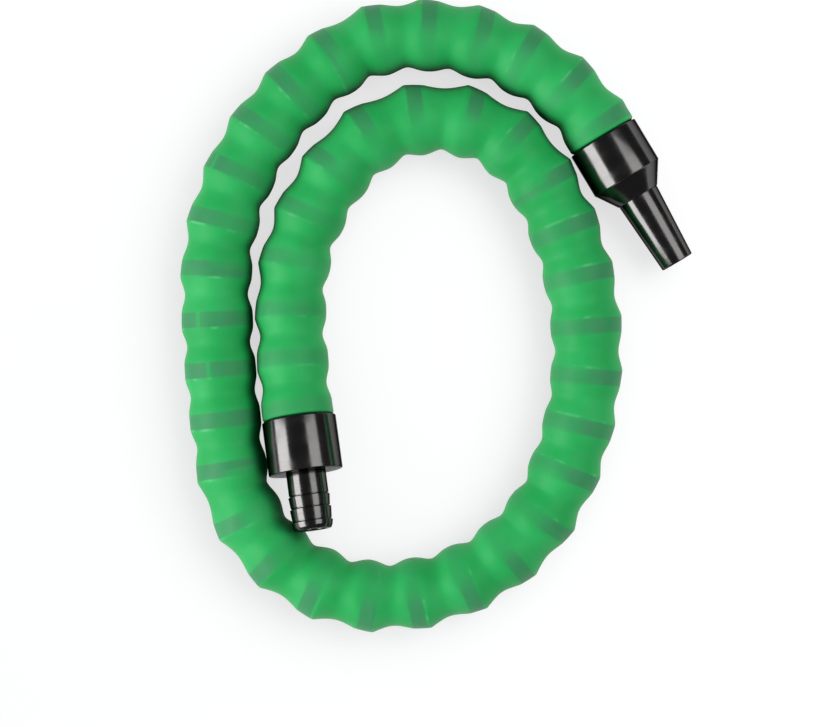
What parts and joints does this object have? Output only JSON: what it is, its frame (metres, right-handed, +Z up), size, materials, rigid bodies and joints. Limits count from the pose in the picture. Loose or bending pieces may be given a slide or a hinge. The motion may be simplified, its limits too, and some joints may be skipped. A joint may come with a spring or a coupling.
{
  "type": "flexible silicone hose",
  "caption": "Coiled flexible silicone hose with split inner support rings, a tapered metal nose fitting at one end and a barbed metal nipple at the other.",
  "frame": {"origin": "centre of the coil's footprint, on the ground", "axes": "+Y along the coil's long side, +X towards the nose fitting, +Z up"},
  "size_m": [0.2246, 0.2772, 0.043],
  "materials": {
    "silicone": "matte translucent",
    "ring_plastic": "moulded matte",
    "dark_metal": "turned, dark anodised, polished",
    "seal_rubber": "matte"
  },
  "bodies": {
    "nose_end": {"support_ring_01": "ring_plastic", "nose_collar": "dark_metal", "tapered_nose": "dark_metal", "nose_spigot": "dark_metal", "nose_seal": "seal_rubber"},
    "hose_link_02": {"support_ring_02": "ring_plastic"},
    "hose_link_03": {"support_ring_03": "ring_plastic"},
    "hose_link_04": {"support_ring_04": "ring_plastic"},
    "hose_link_05": {"support_ring_05": "ring_plastic"},
    "hose_link_06": {"support_ring_06": "ring_plastic"},
    "hose_link_07": {"support_ring_07": "ring_plastic"},
    "hose_link_08": {"support_ring_08": "ring_plastic"},
    "hose_link_09": {"support_ring_09": "ring_plastic"},
    "hose_link_10": {"support_ring_10": "ring_plastic"},
    "hose_link_11": {"support_ring_11": "ring_plastic"},
    "hose_link_12": {"support_ring_12": "ring_plastic"},
    "hose_link_13": {"support_ring_13": "ring_plastic"},
    "hose_link_14": {"support_ring_14": "ring_plastic"},
    "hose_link_15": {"support_ring_15": "ring_plastic"},
    "hose_link_16": {"support_ring_16": "ring_plastic"},
    "hose_link_17": {"support_ring_17": "ring_plastic"},
    "hose_link_18": {"support_ring_18": "ring_plastic"},
    "hose_link_19": {"support_ring_19": "ring_plastic"},
    "hose_link_20": {"support_ring_20": "ring_plastic"},
    "hose_link_21": {"silicone_sleeve": "silicone", "support_ring_21": "ring_plastic"},
    "hose_link_22": {"support_ring_22": "ring_plastic"},
    "hose_link_23": {"support_ring_23": "ring_plastic"},
    "hose_link_24": {"support_ring_24": "ring_plastic"},
    "hose_link_25": {"support_ring_25": "ring_plastic"},
    "hose_link_26": {"support_ring_26": "ring_plastic"},
    "hose_link_27": {"support_ring_27": "ring_plastic"},
    "hose_link_28": {"support_ring_28": "ring_plastic"},
    "hose_link_29": {"support_ring_29": "ring_plastic"},
    "hose_link_30": {"support_ring_30": "ring_plastic"},
    "hose_link_31": {"support_ring_31": "ring_plastic"},
    "hose_link_32": {"support_ring_32": "ring_plastic"},
    "hose_link_33": {"support_ring_33": "ring_plastic"},
    "hose_link_34": {"support_ring_34": "ring_plastic"},
    "hose_link_35": {"support_ring_35": "ring_plastic"},
    "hose_link_36": {"support_ring_36": "ring_plastic"},
    "hose_link_37": {"support_ring_37": "ring_plastic"},
    "hose_link_38": {"support_ring_38": "ring_plastic"},
    "hose_link_39": {"support_ring_39": "ring_plastic"},
    "hose_link_40": {"support_ring_40": "ring_plastic"},
    "barb_end": {"support_ring_41": "ring_plastic", "barb_collar": "dark_metal", "barbed_nipple": "dark_metal", "barb_spigot": "dark_metal", "barb_seal": "seal_rubber"}
  },
  "joints": [
    {"name": "uncoil_bend_20", "type": "hinge", "parent": "hose_link_21", "child": "hose_link_20", "pos_m": [-0.0197, -0.12291, 0.0162], "axis": [0, 0, 1], "range_deg": [0, 10.91], "deforming": ["silicone_sleeve"]},
    {"name": "coil_opening", "type": "hinge", "parent": "hose_link_21", "child": "hose_link_22", "pos_m": [0.00175, -0.11929, 0.0162], "axis": [0, 0, -1], "range_deg": [0, 1.5], "deforming": ["silicone_sleeve"]},
    {"name": "uncoil_bend_19", "type": "hinge", "parent": "hose_link_20", "child": "hose_link_19", "pos_m": [-0.0413, -0.12058, 0.0162], "axis": [0, 0, 1], "range_deg": [0, 13.06], "deforming": ["silicone_sleeve"]},
    {"name": "uncoil_bend_22", "type": "hinge", "parent": "hose_link_22", "child": "hose_link_23", "pos_m": [0.02154, -0.11028, 0.0162], "axis": [0, 0, -1], "range_deg": [0, 1.5], "deforming": ["silicone_sleeve"]},
    {"name": "uncoil_bend_18", "type": "hinge", "parent": "hose_link_19", "child": "hose_link_18", "pos_m": [-0.06104, -0.11152, 0.0162], "axis": [0, 0, 1], "range_deg": [0, 13.06], "deforming": ["silicone_sleeve"]},
    {"name": "uncoil_bend_23", "type": "hinge", "parent": "hose_link_23", "child": "hose_link_24", "pos_m": [0.03836, -0.09649, 0.0162], "axis": [0, 0, -1], "range_deg": [0, 1.5], "deforming": ["silicone_sleeve"]},
    {"name": "uncoil_bend_17", "type": "hinge", "parent": "hose_link_18", "child": "hose_link_17", "pos_m": [-0.07685, -0.09663, 0.0162], "axis": [0, 0, 1], "range_deg": [0, 13.06], "deforming": ["silicone_sleeve"]},
    {"name": "uncoil_bend_24", "type": "hinge", "parent": "hose_link_24", "child": "hose_link_25", "pos_m": [0.05108, -0.07884, 0.0162], "axis": [0, 0, -1], "range_deg": [0, 1.5], "deforming": ["silicone_sleeve"]},
    {"name": "uncoil_bend_16", "type": "hinge", "parent": "hose_link_17", "child": "hose_link_16", "pos_m": [-0.08706, -0.07746, 0.0162], "axis": [0, 0, 1], "range_deg": [0, 13.06], "deforming": ["silicone_sleeve"]},
    {"name": "uncoil_bend_25", "type": "hinge", "parent": "hose_link_25", "child": "hose_link_26", "pos_m": [0.0593, -0.05866, 0.0162], "axis": [0, 0, -1], "range_deg": [0, 1.5], "deforming": ["silicone_sleeve"]},
    {"name": "uncoil_bend_15", "type": "hinge", "parent": "hose_link_16", "child": "hose_link_15", "pos_m": [-0.09132, -0.0561, 0.0162], "axis": [0, 0, 1], "range_deg": [0, 3], "deforming": ["silicone_sleeve"]},
    {"name": "uncoil_bend_26", "type": "hinge", "parent": "hose_link_26", "child": "hose_link_27", "pos_m": [0.06426, -0.03744, 0.0162], "axis": [0, 0, -1], "range_deg": [0, 1.5], "deforming": ["silicone_sleeve"]},
    {"name": "uncoil_bend_14", "type": "hinge", "parent": "hose_link_15", "child": "hose_link_14", "pos_m": [-0.09391, -0.03445, 0.0162], "axis": [0, 0, 1], "range_deg": [0, 3], "deforming": ["silicone_sleeve"]},
    {"name": "uncoil_bend_27", "type": "hinge", "parent": "hose_link_27", "child": "hose_link_28", "pos_m": [0.06599, -0.01572, 0.0162], "axis": [0, 0, -1], "range_deg": [0, 1.5], "deforming": ["silicone_sleeve"]},
    {"name": "uncoil_bend_13", "type": "hinge", "parent": "hose_link_14", "child": "hose_link_13", "pos_m": [-0.09565, -0.0127, 0.0162], "axis": [0, 0, 1], "range_deg": [0, 3], "deforming": ["silicone_sleeve"]},
    {"name": "uncoil_bend_28", "type": "hinge", "parent": "hose_link_28", "child": "hose_link_29", "pos_m": [0.06444, 0.00602, 0.0162], "axis": [0, 0, -1], "range_deg": [0, 1.5], "deforming": ["silicone_sleeve"]},
    {"name": "uncoil_bend_12", "type": "hinge", "parent": "hose_link_13", "child": "hose_link_12", "pos_m": [-0.09654, 0.00909, 0.0162], "axis": [0, 0, 1], "range_deg": [0, 3.87], "deforming": ["silicone_sleeve"]},
    {"name": "uncoil_bend_29", "type": "hinge", "parent": "hose_link_29", "child": "hose_link_30", "pos_m": [0.05964, 0.02728, 0.0162], "axis": [0, 0, -1], "range_deg": [0, 1.5], "deforming": ["silicone_sleeve"]},
    {"name": "uncoil_bend_11", "type": "hinge", "parent": "hose_link_12", "child": "hose_link_11", "pos_m": [-0.09532, 0.03084, 0.0162], "axis": [0, 0, 1], "range_deg": [0, 7.41], "deforming": ["silicone_sleeve"]},
    {"name": "uncoil_bend_30", "type": "hinge", "parent": "hose_link_30", "child": "hose_link_31", "pos_m": [0.05172, 0.04758, 0.0162], "axis": [0, 0, -1], "range_deg": [0, 1.5], "deforming": ["silicone_sleeve"]},
    {"name": "nose_lift_bend_10", "type": "hinge", "parent": "hose_link_11", "child": "hose_link_10", "pos_m": [-0.09013, 0.052, 0.0162], "axis": [0.9451, -0.3267, 0], "range_deg": [0, 12], "deforming": ["silicone_sleeve"]},
    {"name": "uncoil_bend_31", "type": "hinge", "parent": "hose_link_31", "child": "hose_link_32", "pos_m": [0.04068, 0.06635, 0.0162], "axis": [0, 0, -1], "range_deg": [0, 2.04], "deforming": ["silicone_sleeve"]},
    {"name": "uncoil_bend_09", "type": "hinge", "parent": "hose_link_10", "child": "hose_link_09", "pos_m": [-0.08114, 0.07184, 0.0162], "axis": [0, 0, 1], "range_deg": [0, 12.71], "deforming": ["silicone_sleeve"]},
    {"name": "uncoil_bend_32", "type": "hinge", "parent": "hose_link_32", "child": "hose_link_33", "pos_m": [0.02402, 0.08019, 0.0162], "axis": [0, 0, -1], "range_deg": [0, 2.4], "deforming": ["silicone_sleeve"]},
    {"name": "nose_lift_bend_08", "type": "hinge", "parent": "hose_link_09", "child": "hose_link_08", "pos_m": [-0.06867, 0.08969, 0.0162], "axis": [0.7632, -0.6461, 0], "range_deg": [0, 12], "deforming": ["silicone_sleeve"]},
    {"name": "barb_end_swing", "type": "hinge", "parent": "hose_link_33", "child": "hose_link_34", "pos_m": [0.00317, 0.08604, 0.0162], "axis": [0, 0, 1], "range_deg": [0, 6], "deforming": ["silicone_sleeve"]},
    {"name": "uncoil_bend_07", "type": "hinge", "parent": "hose_link_08", "child": "hose_link_07", "pos_m": [-0.05312, 0.10495, 0.0162], "axis": [0, 0, 1], "range_deg": [0, 12.71], "deforming": ["silicone_sleeve"]},
    {"name": "barb_end_lift", "type": "hinge", "parent": "hose_link_34", "child": "hose_link_35", "pos_m": [-0.01825, 0.08289, 0.0162], "axis": [-0.3483, 0.9374, 0], "range_deg": [0, 12], "deforming": ["silicone_sleeve"]},
    {"name": "nose_lift_bend_06", "type": "hinge", "parent": "hose_link_07", "child": "hose_link_06", "pos_m": [-0.03502, 0.11708, 0.0162], "axis": [0.4651, -0.8853, 0], "range_deg": [0, 12], "deforming": ["silicone_sleeve"]},
    {"name": "barb_swing_bend_35", "type": "hinge", "parent": "hose_link_35", "child": "hose_link_36", "pos_m": [-0.03654, 0.07129, 0.0162], "axis": [0, 0, 1], "range_deg": [0, 6], "deforming": ["silicone_sleeve"]},
    {"name": "uncoil_bend_05", "type": "hinge", "parent": "hose_link_06", "child": "hose_link_05", "pos_m": [-0.01402, 0.12242, 0.0162], "axis": [0, 0, 1], "range_deg": [0, 16.37], "deforming": ["silicone_sleeve"]},
    {"name": "barb_lift_bend_36", "type": "hinge", "parent": "hose_link_36", "child": "hose_link_37", "pos_m": [-0.04977, 0.05401, 0.0162], "axis": [-0.8579, 0.5137, 0], "range_deg": [0, 12], "deforming": ["silicone_sleeve"]},
    {"name": "nose_lift_bend_04", "type": "hinge", "parent": "hose_link_05", "child": "hose_link_04", "pos_m": [0.00773, 0.12183, 0.0162], "axis": [-0.145, -0.9894, 0], "range_deg": [0, 12], "deforming": ["silicone_sleeve"]},
    {"name": "barb_swing_bend_37", "type": "hinge", "parent": "hose_link_37", "child": "hose_link_38", "pos_m": [-0.05881, 0.0342, 0.01649], "axis": [0.0091, 0.0277, 0.9996], "range_deg": [0, 6], "deforming": ["silicone_sleeve"]},
    {"name": "uncoil_bend_03", "type": "hinge", "parent": "hose_link_04", "child": "hose_link_03", "pos_m": [0.02874, 0.11615, 0.0162], "axis": [0, 0, 1], "range_deg": [0, 16.3], "deforming": ["silicone_sleeve"]},
    {"name": "barb_lift_bend_38", "type": "hinge", "parent": "hose_link_38", "child": "hose_link_39", "pos_m": [-0.06326, 0.0129, 0.01748], "axis": [-0.9956, 0.0942, 0], "range_deg": [0, 12], "deforming": ["silicone_sleeve"]},
    {"name": "nose_end_lift", "type": "hinge", "parent": "hose_link_03", "child": "hose_link_02", "pos_m": [0.04783, 0.1057, 0.0162], "axis": [-0.5808, -0.814, 0], "range_deg": [0, 12], "deforming": ["silicone_sleeve"]},
    {"name": "barb_swing_bend_39", "type": "hinge", "parent": "hose_link_39", "child": "hose_link_40", "pos_m": [-0.0634, -0.0089, 0.01917], "axis": [-0.0038, 0.0937, 0.9956], "range_deg": [0, 6], "deforming": ["silicone_sleeve"]},
    {"name": "uncoil_bend_01", "type": "hinge", "parent": "hose_link_02", "child": "nose_end", "pos_m": [0.06392, 0.09105, 0.0162], "axis": [0, 0, 1], "range_deg": [0, 16.3], "deforming": ["silicone_sleeve"]},
    {"name": "barb_lift_bend_40", "type": "hinge", "parent": "hose_link_40", "child": "barb_end", "pos_m": [-0.06188, -0.03066, 0.02157], "axis": [-0.9951, -0.0992, 0], "range_deg": [0, 12], "deforming": ["silicone_sleeve"]}
  ],
  "couplings": [
    {"joint": "uncoil_bend_01", "follows": "coil_opening", "ratio": 10.868},
    {"joint": "uncoil_bend_03", "follows": "coil_opening", "ratio": 10.868},
    {"joint": "uncoil_bend_05", "follows": "coil_opening", "ratio": 10.91},
    {"joint": "uncoil_bend_07", "follows": "coil_opening", "ratio": 8.4735},
    {"joint": "uncoil_bend_09", "follows": "coil_opening", "ratio": 8.4735},
    {"joint": "uncoil_bend_11", "follows": "coil_opening", "ratio": 4.9429},
    {"joint": "uncoil_bend_12", "follows": "coil_opening", "ratio": 2.5811},
    {"joint": "uncoil_bend_13", "follows": "coil_opening", "ratio": 2},
    {"joint": "uncoil_bend_14", "follows": "coil_opening", "ratio": 2},
    {"joint": "uncoil_bend_15", "follows": "coil_opening", "ratio": 2},
    {"joint": "uncoil_bend_16", "follows": "coil_opening", "ratio": 8.7054},
    {"joint": "uncoil_bend_17", "follows": "coil_opening", "ratio": 8.7054},
    {"joint": "uncoil_bend_18", "follows": "coil_opening", "ratio": 8.7054},
    {"joint": "uncoil_bend_19", "follows": "coil_opening", "ratio": 8.7054},
    {"joint": "uncoil_bend_20", "follows": "coil_opening", "ratio": 7.2733},
    {"joint": "uncoil_bend_22", "follows": "coil_opening", "ratio": 1},
    {"joint": "uncoil_bend_23", "follows": "coil_opening", "ratio": 1},
    {"joint": "uncoil_bend_24", "follows": "coil_opening", "ratio": 1},
    {"joint": "uncoil_bend_25", "follows": "coil_opening", "ratio": 1},
    {"joint": "uncoil_bend_26", "follows": "coil_opening", "ratio": 1},
    {"joint": "uncoil_bend_27", "follows": "coil_opening", "ratio": 1},
    {"joint": "uncoil_bend_28", "follows": "coil_opening", "ratio": 1},
    {"joint": "uncoil_bend_29", "follows": "coil_opening", "ratio": 1},
    {"joint": "uncoil_bend_30", "follows": "coil_opening", "ratio": 1},
    {"joint": "uncoil_bend_31", "follows": "coil_opening", "ratio": 1.3568},
    {"joint": "uncoil_bend_32", "follows": "coil_opening", "ratio": 1.6023},
    {"joint": "nose_lift_bend_04", "follows": "nose_end_lift", "ratio": 1},
    {"joint": "nose_lift_bend_06", "follows": "nose_end_lift", "ratio": 1},
    {"joint": "nose_lift_bend_08", "follows": "nose_end_lift", "ratio": 1},
    {"joint": "nose_lift_bend_10", "follows": "nose_end_lift", "ratio": 1},
    {"joint": "barb_swing_bend_35", "follows": "barb_end_swing", "ratio": 1},
    {"joint": "barb_swing_bend_37", "follows": "barb_end_swing", "ratio": 1},
    {"joint": "barb_swing_bend_39", "follows": "barb_end_swing", "ratio": 1},
    {"joint": "barb_lift_bend_36", "follows": "barb_end_lift", "ratio": 1},
    {"joint": "barb_lift_bend_38", "follows": "barb_end_lift", "ratio": 1},
    {"joint": "barb_lift_bend_40", "follows": "barb_end_lift", "ratio": 1}
  ]
}
